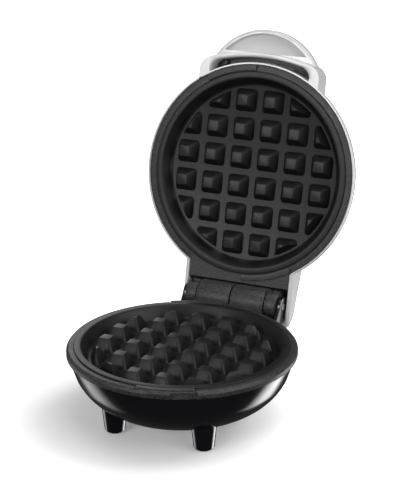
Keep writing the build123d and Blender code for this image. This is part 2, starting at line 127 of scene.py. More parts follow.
def chooseEdges(piece, test):
    # test gets the two ends of an edge in millimetres
    mesh = startEdit(piece, "EDGE")
    for edge in mesh.edges:
        ends = [fromPlace(v.co) for v in edge.verts]
        edge.select = test(*ends)
    mesh.select_flush_mode()
    bmesh.update_edit_mesh(piece.data)


def fromPlace(point):
    return Vector((point.x / mm, (point.y - bowlY) / mm, point.z / mm))


def soften(piece, test, width, segments=4):
    chooseEdges(piece, test)
    bpy.ops.mesh.bevel(offset=width * mm, segments=segments, affect="EDGES", profile=0.5)
    bpy.ops.object.mode_set(mode="OBJECT")
    return piece


def tidy(piece, angle=32):
    startEdit(piece)
    bpy.ops.mesh.select_all(action="SELECT")
    bpy.ops.mesh.remove_doubles(threshold=0.004 * mm)
    bpy.ops.mesh.normals_make_consistent(inside=False)
    bpy.ops.object.mode_set(mode="OBJECT")
    bpy.ops.object.shade_smooth_by_angle(angle=math.radians(angle))
    return piece


def outlineFace(name, points, corners=None):
    # points run round a closed outline; corners gives some of them a rounding
    clearSelection()
    bpy.ops.mesh.primitive_plane_add(size=mm, location=place(*points[0]))
    piece = named(name)
    startEdit(piece)
    bpy.ops.mesh.select_all(action="SELECT")
    bpy.ops.mesh.merge(type="CENTER")
    for here, there in zip(points, points[1:]):
        step = place(*there) - place(*here)
        bpy.ops.mesh.extrude_region_move(TRANSFORM_OT_translate={"value": step})
    mesh = bmesh.from_edit_mesh(piece.data)
    mesh.verts.ensure_lookup_table()
    mesh.verts[0].select = True
    mesh.select_flush_mode()
    bpy.ops.mesh.edge_face_add()
    bpy.ops.mesh.select_all(action="SELECT")
    bpy.ops.mesh.edge_face_add()
    for spot, width in (corners or {}).items():
        mesh = bmesh.from_edit_mesh(piece.data)
        bpy.ops.mesh.select_all(action="DESELECT")
        target = place(*points[spot])
        nearest = min(mesh.verts, key=lambda v: (v.co - target).length)
        nearest.select = True
        mesh.select_flush_mode()
        bpy.ops.mesh.bevel(offset=width * mm, segments=3, affect="VERTICES")
    bpy.ops.object.mode_set(mode="OBJECT")
    return piece


def lathe(name, outline, rounding=None, start=None, sweep=360, steps=144):
    # outline is (radius, height) pairs, turned about the bowl's axis
    turned = math.radians(start or 0)
    points = [(r * math.cos(turned), r * math.sin(turned), z) for r, z in outline]
    piece = outlineFace(name, points, rounding)
    startEdit(piece)
    bpy.ops.mesh.select_all(action="SELECT")
    if sweep == 360:
        bpy.ops.mesh.delete(type="ONLY_FACE")
        bpy.ops.mesh.select_all(action="SELECT")
    # with no window the spin turns clockwise, so its angle is negative
    bpy.ops.mesh.spin(steps=steps, angle=-math.radians(sweep), center=place(0, 0, 0), axis=(0, 0, 1))
    bpy.ops.object.mode_set(mode="OBJECT")
    return tidy(piece)


def extrudeAll(piece, step):
    startEdit(piece, "FACE")
    bpy.ops.mesh.select_all(action="SELECT")
    bpy.ops.mesh.extrude_region_move(TRANSFORM_OT_translate={"value": step})
    bpy.ops.object.mode_set(mode="OBJECT")
    return piece


def prism(name, outline, x0, x1, rounding=None, soft=0.0):
    # outline is (y, z) pairs, drawn out along X
    piece = outlineFace(name, [(x0, y, z) for y, z in outline], rounding)
    tidy(extrudeAll(piece, ((x1 - x0) * mm, 0, 0)))
    if soft:
        ends = (min(x0, x1), max(x0, x1))
        soften(piece, lambda a, b: any(abs(a.x - e) < near and abs(b.x - e) < near for e in ends), soft, 3)
    return piece


def barrel(name, radius, x0, x1, y=hingeY, z=hingeZ, soft=0.5):
    clearSelection()
    bpy.ops.mesh.primitive_cylinder_add(
        vertices=72, radius=radius * mm, depth=abs(x1 - x0) * mm,
        location=place((x0 + x1) / 2, y, z), rotation=(0, math.pi / 2, 0))
    piece = named(name)
    if soft:
        soften(piece, lambda a, b: abs(a.x - b.x) < near, soft, 3)
    return piece


def post(name, radius, x, y, z0, z1, top=None, vertices=48):
    clearSelection()
    bpy.ops.mesh.primitive_cone_add(
        vertices=vertices, radius1=radius * mm, radius2=(radius if top is None else top) * mm,
        depth=(z1 - z0) * mm, location=place(x, y, (z0 + z1) / 2))
    return named(name)


def brick(name, x0, x1, y0, y1, z0, z1):
    clearSelection()
    bpy.ops.mesh.primitive_cube_add(size=1, location=place((x0 + x1) / 2, (y0 + y1) / 2, (z0 + z1) / 2))
    piece = bpy.context.active_object
    piece.scale = ((x1 - x0) * mm, (y1 - y0) * mm, (z1 - z0) * mm)
    return named(name)


def arcThrough(a, b, c, count):
    # points on the circle through three (radius, height) points, from a to c
    d = 2 * (a[0] * (b[1] - c[1]) + b[0] * (c[1] - a[1]) + c[0] * (a[1] - b[1]))
    sa, sb, sc = (p[0] ** 2 + p[1] ** 2 for p in (a, b, c))
    u = (sa * (b[1] - c[1]) + sb * (c[1] - a[1]) + sc * (a[1] - b[1])) / d
    v = (sa * (c[0] - b[0]) + sb * (a[0] - c[0]) + sc * (b[0] - a[0])) / d
    radius = math.hypot(a[0] - u, a[1] - v)
    first = math.atan2(a[1] - v, a[0] - u)
    last = math.atan2(c[1] - v, c[0] - u)
    return [(u + radius * math.cos(first + (last - first) * k / count),
             v + radius * math.sin(first + (last - first) * k / count)) for k in range(count + 1)]


def smoothLine(points, count=5):
    # a Catmull-Rom line through the points
    ends = [points[0]] + list(points) + [points[-1]]
    line = []
    for k in range(len(points) - 1):
        p = [Vector(q) for q in ends[k:k + 4]]
        for step in range(count):
            t = step / count
            line.append(tuple(0.5 * (2 * p[1] + (p[2] - p[0]) * t + (2 * p[0] - 5 * p[1] + 4 * p[2] - p[3]) * t ** 2
                                     + (3 * p[1] - p[0] - 3 * p[2] + p[3]) * t ** 3)))
    return line + [tuple(points[-1])]


def turnAbout(point, angle):
    return Matrix.Translation(point) @ Matrix.Rotation(angle, 4, "X") @ Matrix.Translation(-point)


def layOpen(piece):
    piece.matrix_world = turnAbout(hingePoint, -openTurn) @ piece.matrix_world
    return freeze(piece)


def faceBack(piece, point, angle):
    # lays a piece made upright on the bowl's axis along Y, at a point
    move = Matrix.Translation(place(*point) - place(0, 0, 0))
    piece.matrix_world = move @ turnAbout(place(0, 0, 0), angle)
    return freeze(piece)


def settle(piece, body, nodes):
    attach(piece, body)
    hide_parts(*nodes)
    return piece


# base: the bowl with its feet, hinge bracket, cheeks and inlet boss
bowl = {
    "flat": (38.0, 10.5), "middle": (52.2, 19.1), "shoulder": (58.4, 28.0), "rim": (62.2, 39.3), "wall": 2.2,
    "feet": [(-26.5, -30.8, 16.0), (26.5, -30.8, 16.0), (-22.0, 55.0, 29.0), (22.0, 55.0, 29.0)],
    "footTop": 7.2, "footBottom": 5.6, "footLow": 0.6, "footRound": 0.9, "padSeat": (4.5, 1.4),
    "bracketHalf": 30.9, "cheek": 2.4, "knuckle": 5.6, "pinHole": 2.02,
    "bracket": [(46.0, 21.0), (58.0, 27.0), (69.8, 31.0), (72.7, 32.6), (72.7, 33.6), (46.0, 33.6)],
    "cheekSide": [(58.0, 30.0), (72.3, 33.0), (78.2, 39.0), (71.5, 47.8), (64.2, 38.6), (58.0, 38.6)],
    "inlet": (0, 58.0, 20.5), "inletBoss": 7.0, "inletBore": 4.6,
    "screwCircle": 24.0, "screwAngles": (90, 210, 330), "screwWell": (3.5, 8.0, 13.3),
}


def makeBowl(s):
    wall = s["wall"]
    outside = arcThrough(s["flat"], s["middle"], s["shoulder"], 14)
    outline = [(0, s["flat"][1])] + outside + [s["rim"], (s["rim"][0] - wall, s["rim"][1])]
    outline += [(r - wall * 0.85, z + wall * 0.6) for r, z in reversed(outside)]
    outline += [(0, s["flat"][1] + wall)]
    rim = len(outside) + 1
    shell = lathe("bowlShell", outline, {rim: 0.5, rim + 1: 0.4})
    for x, y, top in s["feet"]:
        foot = post("foot", s["footBottom"], x, y, s["footLow"], top, s["footTop"])
        soften(foot, lambda a, b: max(a.z, b.z) < s["footLow"] + 0.1, s["footRound"], 4)
        weld(shell, foot)
        cut(shell, post("padSeat", s["padSeat"][0], x, y, -1.0, s["padSeat"][1]))
    weld(shell, prism("bracket", s["bracket"], -s["bracketHalf"], s["bracketHalf"], {2: 1.2}, 0.6))
    for side in (-1, 1):
        ends = sorted((side * (s["bracketHalf"] - s["cheek"]), side * s["bracketHalf"]))
        cheek = prism("cheek", s["cheekSide"], *ends, {4: 1.5}, 0.35)
        weld(cheek, barrel("knuckle", s["knuckle"], *ends, soft=0.35))
        weld(shell, cheek)
    weld(shell, faceBack(post("inletBoss", s["inletBoss"], 0, 0, 0, 14), s["inlet"], math.pi / 2))
    cut(shell, faceBack(post("inletBore", s["inletBore"], 0, 0, -2, 22), s["inlet"], math.pi / 2))
    for angle in map(math.radians, s["screwAngles"]):
        x, y = s["screwCircle"] * math.cos(angle), s["screwCircle"] * math.sin(angle)
        radius, low, high = s["screwWell"]
        cut(shell, post("screwWell", radius, x, y, low, high))
    cut(shell, barrel("pinHole", s["pinHole"], -32, 32, soft=0))
    return tidy(shell)


bowlShell = makeBowl(bowl)
settle(bowlShell, "base", ["lower_housing"])
print("stage: bowl")


# base: the bezel ring with its raised arcs, catch tab and the two hinge sleeves
bezel = {
    "outline": [(61.0, 43.9), (62.2, 43.9), (63.5, 42.3), (63.5, 39.8), (61.3, 39.8), (61.3, 40.1),
                (58.95, 40.1), (58.95, 36.5), (58.05, 36.5), (58.05, 42.25), (59.45, 42.25), (59.45, 43.9)],
    "rounding": {1: 0.35, 2: 0.3, 3: 0.3}, "arcStart": 1.5, "arcSweep": 29.0, "groove": 0.45,
    "catchStart": 8.0, "catchSweep": 11.0, "notchSweep": 12.5,
    "sleeve": 9.2, "sleeveHalf": 21.0, "split": 0.8, "pinBore": 2.02,
    "web": [(61.6, 40.4), (66.3, 35.4), (73.3, 34.6), (73.3, 43.0), (66.1, 43.6), (61.6, 43.6)],
}


def arcBlock(name, inner, outer, start, sweep, z0, z1, rounding=None):
    return lathe(name, [(inner, z0), (outer, z0), (outer, z1), (inner, z1)], rounding or {2: 0.15, 3: 0.15},
                 start, sweep, 24)


def makeBezel(s):
    ring = lathe("bezelRing", s["outline"], s["rounding"])
    for base in (-90, 90):
        start = base + s["arcStart"]
        weld(ring, arcBlock("raisedArc", 59.6, 62.1, start, s["arcSweep"], 43.6, 44.7))
        for edge in (start - s["groove"], start + s["arcSweep"]):
            cut(ring, arcBlock("endGroove", 59.8, 62.6, edge, s["groove"], 43.3, 45.0))
    first = -90 + s["catchStart"]
    last = first + s["catchSweep"]
    weld(ring, arcBlock("catchTab", 61.6, 63.9, first, s["catchSweep"], 41.0, 43.0, {1: 0.2, 2: 0.3}))
    cut(ring, arcBlock("catchNotch", 62.6, 65.5, last, s["notchSweep"], 40.7, 45.0, {0: 0.1}))
    gap = s["split"] / 2
    for x0, x1 in ((-s["sleeveHalf"], -gap), (gap, s["sleeveHalf"])):
        weld(ring, prism("web", s["web"], x0, x1, {1: 0.8}, 0.25))
        weld(ring, barrel("sleeve", s["sleeve"], x0, x1, soft=0.45))
    cut(ring, barrel("pinBore", s["pinBore"], -22, 22, soft=0))
    return tidy(ring)


bezelRing = makeBezel(bezel)
settle(bezelRing, "base", ["base_bezel"])
print("stage: bezel")


# cooking plate: a shallow pan with a square grid of tapered pins, made once and used twice
grid = {
    "pan": [(0, 37.3), (52.2, 37.3), (55.3, 44.7), (59.3, 44.7), (59.3, 42.3), (57.7, 42.3), (54.6, 34.9),
            (0, 34.9)],
    "rounding": {1: 1.2, 2: 0.7, 3: 0.4}, "pitch": 16.85, "count": 6, "foot": 13.4, "head": 6.4,
    "low": 37.1, "high": 44.3, "footRound": 2.1, "headRound": 0.35, "clip": 50.3, "clipTop": 47.1,
}


def makePin(s):
    half = s["foot"] / 2
    pin = brick("pin", -half, half, -half, half, s["low"], s["high"])
    soften(pin, lambda a, b: abs(a.z - b.z) > 3, s["footRound"], 5)
    mesh = startEdit(pin, "FACE")
    for face in mesh.faces:
        face.select = face.normal.z > 0.9
    bmesh.update_edit_mesh(pin.data)
    shrink = s["head"] / s["foot"]
    bpy.ops.transform.resize(value=(shrink, shrink, 1), center_override=place(0, 0, s["high"]))
    bpy.ops.object.mode_set(mode="OBJECT")
    soften(pin, lambda a, b: min(a.z, b.z) > s["high"] - 0.3, s["headRound"], 3)
    return tidy(pin, 40)


def copyOf(piece, name, x, y):
    pickOnly(piece)
    bpy.ops.object.duplicate(linked=False)
    twin = bpy.context.active_object
    twin.name = name
    twin.location = (x * mm, y * mm, 0)
    return freeze(twin)


def makeGrid(s):
    parts = [lathe("lowerGrid", s["pan"], s["rounding"])]
    pin = makePin(s)
    half = s["foot"] / 2
    spots = [(k - (s["count"] - 1) / 2) * s["pitch"] for k in range(s["count"])]
    for x, y in ((x, y) for y in spots for x in spots):
        nearest = math.hypot(max(abs(x) - half, 0), max(abs(y) - half, 0))
        if nearest > s["clip"] - 4:
            continue
        twin = copyOf(pin, "pin", x, y)
        if math.hypot(abs(x) + half, abs(y) + half) > s["clipTop"]:
            circle = post("clip", s["clip"], 0, 0, 37.0, 44.6, s["clipTop"], 144)
            tidy(combine(twin, circle, "INTERSECT"), 40)
        parts.append(twin)
    bpy.data.objects.remove(pin)
    return joinAll("lowerGrid", parts)


lowerGrid = makeGrid(grid)
upperGrid = copyOf(lowerGrid, "upperGrid", 0, 0)
settle(lowerGrid, "base", ["lower_cooking_plate"])
upperGrid.matrix_world = Matrix.Translation((0, 0, 2 * parting * mm)) @ Matrix.Scale(-1, 4, (0, 0, 1))
layOpen(tidy(freeze(upperGrid), 40))
settle(upperGrid, "lid", ["upper_cooking_plate"])
print("stage: cooking plates")


# lid: the white cover with its handle, half-moon recess and tail
cover = {
    "radius": 64.4, "top": 28.5, "foot": 0.3, "wall": 2.2, "skirt": 3.5, "skirtWall": 0.9,
    "dome": [(0.977, 0.281), (0.936, 0.421), (0.868, 0.561), (0.755, 0.709), (0.567, 0.856), (0.295, 0.965)],
    "wallSlope": [(0.95, 0.3), (0.83, 0.56), (0.67, 0.74), (0.44, 0.9), (0.26, 0.96), (0.12, 0.99)],
    "trayHalf": 37.2, "trayFront": -70.1, "trayBack": -30.1, "trayCorner": 8.0, "bow": 111.0,
    "gripY": -47.4, "gripRadius": 36.5, "gripUnder": 8.0, "handleTop": 16.0, "handleRound": 3.0,
    "recess": 12.0, "lip": 2.3, "band": 2.6,
    "pocketHalf": 31.0, "pocketBack": -27.5, "pocketDepth": 13.0, "pocketCorner": 7.0, "pocketRound": 0.9,
    "tailHalf": 34.0, "tailWall": 2.2, "tailRadius": 12.6, "tailRise": 17.5, "tailRoof": 2.3, "tailFront": 48.0,
    "lensHole": 3.48, "lensY": -34.0,
}


def domeLine(s, inset):
    line = [(s["radius"] - inset, s["skirt"])]
    for (r, z), (a, b) in zip(s["dome"], s["wallSlope"]):
        line.append((r * s["radius"] - inset * a, z * s["top"] - inset * b))
    line.append((0, s["top"] - inset))
    return [(max(r, 0), parting + z) for r, z in smoothLine(line, 6)]


def bowedPlan(name, half, front, bow, back, z0, z1, corner):
    # a block whose front bows forward and runs into its sides by round corners
    centre = front + bow
    side = half - corner
    cornerY = centre - math.sqrt((bow - corner) ** 2 - side ** 2)
    lean = math.atan2(side, centre - cornerY)
    right = [(bow * math.sin(lean * k / 8), centre - bow * math.cos(lean * k / 8)) for k in range(9)]
    for k in range(1, 11):
        angle = lean + (math.pi / 2 - lean) * k / 10
        right.append((side + corner * math.sin(angle), cornerY - corner * math.cos(angle)))
    right.append((half, back))
    left = [(-x, y) for x, y in reversed(right[1:])]
    plan = outlineFace(name, [(x, y, parting + z0) for x, y in left + right])
    return tidy(extrudeAll(plan, (0, 0, (z1 - z0) * mm)))


def tailBlock(name, radius, rise, foot, half, soft):
    # a block whose back is an arc about the hinge axis
    low = parting + foot
    first = math.asin((low - hingeZ) / radius)
    angles = [first + (math.pi / 2 - first) * k / 20 for k in range(21)]
    arc = [(hingeY + radius * math.cos(a), hingeZ + radius * math.sin(a)) for a in angles]
    front = cover["tailFront"]
    return prism(name, [(front, low)] + arc + [(front, parting + rise)], -half, half, None, soft)


def makeCover(s):
    low = parting + s["foot"]
    top = parting + s["handleTop"]
    dome = lathe("lidShell", [(s["radius"], low)] + domeLine(s, 0) + [(0, low)], {0: 0.35}, steps=180)
    tray = bowedPlan("tray", s["trayHalf"], s["trayFront"], s["bow"], s["trayBack"], s["foot"], s["handleTop"],
                     s["trayCorner"])
    soften(tray, lambda a, b: max(a.z, b.z) < low + near, 0.3, 2)
    soften(tray, lambda a, b: min(a.z, b.z) > top - near, s["handleRound"], 6)
    under = parting + s["gripUnder"]
    grip = post("grip", s["gripRadius"], 0, s["gripY"], under, top, vertices=128)
    soften(grip, lambda a, b: min(a.z, b.z) > top - near, s["handleRound"], 6)
    soften(grip, lambda a, b: max(a.z, b.z) < under + near, 0.8, 3)
    weld(dome, weld(tray, grip))
    weld(dome, tailBlock("tail", s["tailRadius"], s["tailRise"], s["foot"], s["tailHalf"], 1.3))

    # the hollow side: the room under the dome and the tail, the pocket and the half-moon recess
    thin = s["radius"] - s["skirtWall"]
    below = parting - 2
    hollow = [(thin, below), (thin, parting + s["skirt"])] + domeLine(s, s["wall"]) + [(0, below)]
    cut(dome, lathe("plug", hollow, None, steps=180))
    cut(dome, tailBlock("room", s["tailRadius"] - s["tailWall"], s["tailRise"] - s["tailRoof"], -1.7,
                        s["tailHalf"] - s["tailWall"], 0))
    front = s["trayFront"] + s["band"]
    pocket = bowedPlan("pocket", s["pocketHalf"], front, s["bow"] - s["band"], s["pocketBack"], -1.0,
                       s["pocketDepth"], s["pocketCorner"])
    cut(pocket, post("skirtKeep", s["radius"], 0, 0, parting - 3, parting + 20, vertices=180))
    cut(dome, pocket)

    def onPocketEdge(point):
        return (abs(point.z - low) < 0.02 and math.hypot(point.x, point.y) > s["radius"] + 0.1
                and abs(point.x) < s["pocketHalf"] + 0.02 and point.y > front - 0.05)

    soften(dome, lambda a, b: onPocketEdge(a) and onPocketEdge(b), s["pocketRound"], 4)
    floor = parting + s["recess"]
    moon = post("moon", s["gripRadius"] - s["lip"], 0, s["gripY"], parting + 4, floor, vertices=128)
    soften(moon, lambda a, b: min(a.z, b.z) > floor - near, 1.0, 4)
    cut(moon, brick("moonSide", -60, 60, s["trayFront"], 0, parting, parting + 20))
    cut(dome, moon)
    cut(dome, post("lensHole", s["lensHole"], 0, s["lensY"], parting + 15, parting + 35))
    return tidy(dome, 30)


lidShell = layOpen(makeCover(cover))
settle(lidShell, "lid", ["lid_cover"])
print("stage: lid cover")


# lid: the black ring that holds the plate, with its neck and hinge bosses
lidRim = {
    "outline": [(63.35, 46.1), (63.35, 48.3), (62.05, 48.3), (58.95, 49.9), (58.95, 53.5), (58.05, 53.5),
                (58.05, 47.75), (59.45, 47.75), (59.45, 46.1)],
    "rounding": {0: 0.35}, "relief": 10.3, "groove": 0.45, "pinBore": 2.06,
    "neckHalf": 31.65, "neckRadius": 10.25, "neckRise": 12.0, "neckFoot": 1.1,
    "bossRadius": 8.6, "bossInner": 21.5, "bossWidth": 6.5, "coreHoles": (5.2, 3.2), "coreZ": 41.0,
}


def makeLidRing(s):
    ring = lathe("lidRing", s["outline"], s["rounding"])
    sweep = bezel["arcSweep"]
    for base in (-90, 90):
        start = base - bezel["arcStart"] - sweep
        weld(ring, arcBlock("raisedArc", 59.6, 63.25, start, sweep, 45.3, 46.4, {0: 0.15, 1: 0.3}))
        for edge in (start - s["groove"], start + sweep):
            cut(ring, arcBlock("endGroove", 59.8, 63.8, edge, s["groove"], 45.0, 46.75))

    def neckBlock(name, soft):
        return tailBlock(name, s["neckRadius"], s["neckRise"], s["neckFoot"], s["neckHalf"], soft)

    neck = neckBlock("neck", 0.3)
    cut(neck, post("ringKeep", 59.75, 0, 0, 40, 80, vertices=144))
    weld(ring, neck)
    cut(ring, barrel("relief", s["relief"], -34, 34, soft=0))
    for side, hole in zip((-1, 1), s["coreHoles"]):
        low, high = sorted((side * s["bossInner"], side * (s["bossInner"] + s["bossWidth"])))
        weld(ring, barrel("lidBoss", s["bossRadius"], low, high, soft=0.4))
        part = brick("webSlice", low, high, 66.8, 81.8, 45.5, 55)
        weld(ring, combine(neckBlock("bossWeb", 0), part, "INTERSECT"))
        x = (low + high) / 2
        cut(ring, brick("coreHole", x - hole / 2, x + hole / 2, 62.0, 69.1,
                        s["coreZ"] - hole / 2, s["coreZ"] + hole / 2))
    cut(ring, barrel("pinBore", s["pinBore"], -34, 34, soft=0))
    return tidy(ring, 30)


lidRing = layOpen(makeLidRing(lidRim))
settle(lidRing, "lid", ["lid_inner_housing"])
print("stage: lid ring")


# lid: the dark liner of the handle pocket, with two square bosses
liner = {
    "half": 30.85, "front": -67.35, "back": -27.65, "bow": 108.25, "corner": 6.85, "depth": 12.95, "thick": 1.0,
    "keep": 64.55, "bossX": 25.2, "boss": 3.4, "bossRound": 0.35,
}


def makeLiner(s):
    def trim(piece):
        return cut(piece, post("skirtKeep", s["keep"], 0, 0, parting, parting + 20, vertices=180))

    sheet = trim(bowedPlan("pocketLiner", s["half"], s["front"], s["bow"], s["back"], s["depth"] - s["thick"],
                           s["depth"], s["corner"]))
    for side in (-1, 1):
        x = side * s["bossX"]
        stub = brick("stub", x - s["boss"] / 2, x + s["boss"] / 2, -64.4, -61.4, parting + 9.0, parting + 12.5)
        weld(sheet, trim(soften(stub, lambda a, b: True, s["bossRound"], 3)))
    return tidy(sheet, 30)


pocketLiner = layOpen(makeLiner(liner))
settle(pocketLiner, "lid", ["handle_pocket_liner"])


# base: the rubber pads under the feet
pads = {"radius": 4.4, "high": 1.4, "round": 0.45}


def makePads(s):
    made = []
    for x, y, _ in bowl["feet"]:
        pad = post("pad", s["radius"], x, y, 0.0, s["high"])
        soften(pad, lambda a, b: max(a.z, b.z) < near, s["round"], 3)
        mesh = startEdit(pad, "FACE")
        for face in mesh.faces:
            face.select = face.normal.z < -0.99
        bmesh.update_edit_mesh(pad.data)
        bpy.ops.mesh.inset(thickness=1.2 * mm, depth=0)
        bpy.ops.mesh.inset(thickness=0.3 * mm, depth=-0.25 * mm)
        made.append(tidy(pad))
    return joinAll("rubberPads", made)


rubberPads = makePads(pads)
settle(rubberPads, "base", ["foot_pads"])


# base: the inlet bush, with four shallow grips round its flange
bush = {
    "outline": [(2.9, -11), (4.45, -11), (4.45, 0.05), (6.4, 0.05), (6.4, 1.65), (2.9, 1.65)],
    "rounding": {1: 0.3, 3: 0.3, 4: 0.6, 5: 0.5}, "gripCircle": 7.2, "gripRadius": 1.4,
}


def makeBush(s):
    piece = lathe("inletBush", s["outline"], s["rounding"], steps=64)
    for k in range(4):
        angle = math.radians(45 + 90 * k)
        x, y = s["gripCircle"] * math.cos(angle), s["gripCircle"] * math.sin(angle)
        cut(piece, post("grip", s["gripRadius"], x, y, -1, 3))
    return tidy(faceBack(piece, bowl["inlet"], -math.pi / 2))


inletBush = makeBush(bush)
settle(inletBush, "base", ["cord_inlet_bush"])


# lid: the lens of the lamp, held by its flange under the dome
lens = {"foot": 20.6, "flange": 0.8, "top": 26.0, "flangeRadius": 4.4, "radius": 3.4, "rounding": {2: 0.2, 4: 1.2}}


def makeLens(s):
    foot = parting + s["foot"]
    step = foot + s["flange"]
    top = parting + s["top"]
    outline = [(0, foot), (s["flangeRadius"], foot), (s["flangeRadius"], step), (s["radius"], step),
               (s["radius"], top), (0, top)]
    piece = lathe("lampLens", outline, s["rounding"], steps=64)
    piece.matrix_world = Matrix.Translation((0, cover["lensY"] * mm, 0))
    return tidy(freeze(piece))


lampLens = layOpen(makeLens(lens))
settle(lampLens, "lid", ["indicator_lens"])
print("stage: small pieces")


# materials, whose patterns are set in metres on Object coordinates
class Signal:  # one node socket, so that masks can be added and multiplied as plain maths
    def __init__(self, tree, socket=None):
        self.tree = tree
        self.socket = socket

    def make(self, kind, settings=None, sockets=None, output=0):
        node = self.tree.nodes.new(kind)
        for key, value in (settings or {}).items():
            if key == "stops":
                ramp = node.color_ramp
                for k, (spot, shade) in enumerate(value):
                    stop = ramp.elements[k] if k < len(ramp.elements) else ramp.elements.new(spot)
                    stop.position = spot
                    stop.color = (shade, shade, shade, 1)
            else:
                setattr(node, key, value)
        for key, value in (sockets or {}).items():
            if isinstance(value, Signal):
                self.tree.links.new(value.socket, node.inputs[key])
            else:
                node.inputs[key].default_value = value
        return Signal(self.tree, node.outputs[output])

    def maths(self, operation, first, second):
        return self.make("ShaderNodeMath", {"operation": operation}, {0: first, 1: second})

    def __add__(self, other):
        return self.maths("ADD", self, other)

    __radd__ = __add__

    def __mul__(self, other):
        return self.maths("MULTIPLY", self, other)

    __rmul__ = __mul__

    def __sub__(self, other):
        return self.maths("SUBTRACT", self, other)

    def __rsub__(self, other):
        return self.maths("SUBTRACT", other, self)

    def noise(self, size, detail=3.0, rough=0.5, distort=0.0):
        return self.make("ShaderNodeTexNoise", None, {
            "Vector": self, "Scale": 1 / (size * mm), "Detail": detail, "Roughness": rough, "Distortion": distort})

    def ramp(self, *stops):
        return self.make("ShaderNodeValToRGB", {"stops": stops}, {"Fac": self})

    def blend(self, dark, light):
        return self.make("ShaderNodeMix", {"data_type": "RGBA"}, {0: self, 6: (*dark, 1), 7: (*light, 1)}, 2)


def newFinish(name, steady):
    # steady holds the values that are the same all over the surface
    material = bpy.data.materials.new(name)
    material.use_nodes = True
    tree = material.node_tree
    shader = tree.nodes["Principled BSDF"]
    for key, value in steady.items():
        shader.inputs[key].default_value = value
    spot = Signal(tree).make("ShaderNodeTexCoord", None, None, 3)
    return material, tree, shader, spot


def connect(tree, shader, colour=None, roughness=None, height=None, strength=0.2, depth=0.02, edge=0.25):
    if colour:
        tree.links.new(colour.socket, shader.inputs["Base Color"])
    if roughness:
        tree.links.new(roughness.socket, shader.inputs["Roughness"])
    if height:
        sockets = {"Strength": strength, "Distance": depth * mm, "Height": height}
        if edge:
            sockets["Normal"] = height.make("ShaderNodeBevel", {"samples": 4}, {"Radius": edge * mm})
        bump = height.make("ShaderNodeBump", None, sockets)
        tree.links.new(bump.socket, shader.inputs["Normal"])


glossBlackLook = {
    "dark": (0.003, 0.003, 0.005), "light": (0.007, 0.007, 0.012), "cloud": 40, "peel": 1.6, "dust": 0.35,
    "smooth": 0.13, "rough": 0.24,
}


def makeGlossBlack(s):
    steady = {"Coat Weight": 0.25, "Coat Roughness": 0.06, "IOR": 1.5}
    material, tree, shader, spot = newFinish("moulded_gloss_black", steady)
    cloud = spot.noise(s["cloud"], 4)
    peel = spot.noise(s["peel"], 2)
    dust = spot.noise(s["dust"], 2).ramp((0.62, 0), (0.75, 1))
    smear = spot.noise(18, 5, 0.65, 0.6).ramp((0.35, 0), (0.7, 1))
    colour = (cloud + dust * 0.25).blend(s["dark"], s["light"])
    roughness = smear * (s["rough"] - s["smooth"]) + dust * 0.12 + s["smooth"]
    connect(tree, shader, colour, roughness, peel * 0.6 + dust * 0.4, 0.12, 0.015, 0.3)
    return material


satinLook = {"dark": (0.008, 0.008, 0.0082), "light": (0.072, 0.071, 0.072), "grain": 0.8, "cloud": 14}


def makeSatinBlack(s):
    material, tree, shader, spot = newFinish("moulded_satin_black", {"IOR": 1.48})
    cloud = spot.noise(s["cloud"], 5, 0.6)
    grain = spot.noise(s["grain"], 2, 0.6)
    speck = spot.noise(s["grain"] * 2.2, 1).ramp((0.55, 0), (0.72, 1))
    rub = spot.noise(7, 4, 0.6, 1.0).ramp((0.45, 0), (0.75, 1))
    mottle = grain.ramp((0.42, 0), (0.58, 1))
    colour = (cloud * 0.2 + mottle * 0.7 + speck * 0.1).blend(s["dark"], s["light"])
    roughness = 0.4 - rub * 0.06 + mottle * 0.2
    connect(tree, shader, colour, roughness, grain + speck * 0.5, 0.6, 0.09, 0.12)
    return material


nonStickLook = {"dark": (0.009, 0.0087, 0.009), "light": (0.027, 0.026, 0.0265), "grain": 0.3, "fleck": 0.5}


def makeNonStick(s):
    steady = {"Coat Weight": 0.08, "Coat Roughness": 0.22, "Specular IOR Level": 0.26}
    material, tree, shader, spot = newFinish("non_stick_coating", steady)
    cloud = spot.noise(9, 5, 0.6)
    grain = spot.noise(s["grain"], 3, 0.6)
    fleck = spot.make("ShaderNodeTexVoronoi", {"feature": "F1"}, {"Vector": spot, "Scale": 1 / (s["fleck"] * mm)})
    glint = fleck.ramp((0.0, 1), (0.22, 0))
    wear = spot.noise(4, 4, 0.65, 0.8).ramp((0.5, 0), (0.8, 1))
    colour = (cloud * 0.6 + glint * 0.4).blend(s["dark"], s["light"])
    roughness = 0.4 - wear * 0.08 + grain * 0.12 - glint * 0.1
    connect(tree, shader, colour, roughness, grain + glint * 0.4, 0.4, 0.04, 0.12)
    return material


whiteLook = {"dark": (0.74, 0.74, 0.735), "light": (0.82, 0.82, 0.815), "cloud": 30, "peel": 1.4, "smooth": 0.2}
# a darker copy of the cover's white: painted shade for the half-moon recess floor
recessShadeLook = {"dark": (0.66, 0.66, 0.66), "light": (0.71, 0.71, 0.71), "cloud": 24, "peel": 0.9, "smooth": 0.4}


def makeWhite(name, s):
    material, tree, shader, spot = newFinish(name, {"Coat Weight": 0.35, "Coat Roughness": 0.1, "IOR": 1.5})
    cloud = spot.noise(s["cloud"], 4, 0.55)
    peel = spot.noise(s["peel"], 2)
    dust = spot.noise(0.45, 2).ramp((0.66, 0), (0.78, 1))
    smear = spot.noise(16, 5, 0.65, 0.7).ramp((0.4, 0), (0.75, 1))
    colour = (cloud - dust * 0.3).blend(s["dark"], s["light"])
    roughness = smear * 0.08 + dust * 0.1 + s["smooth"]
    connect(tree, shader, colour, roughness, peel * 0.7 + dust * 0.3, 0.1, 0.012, 0.3)
    return material


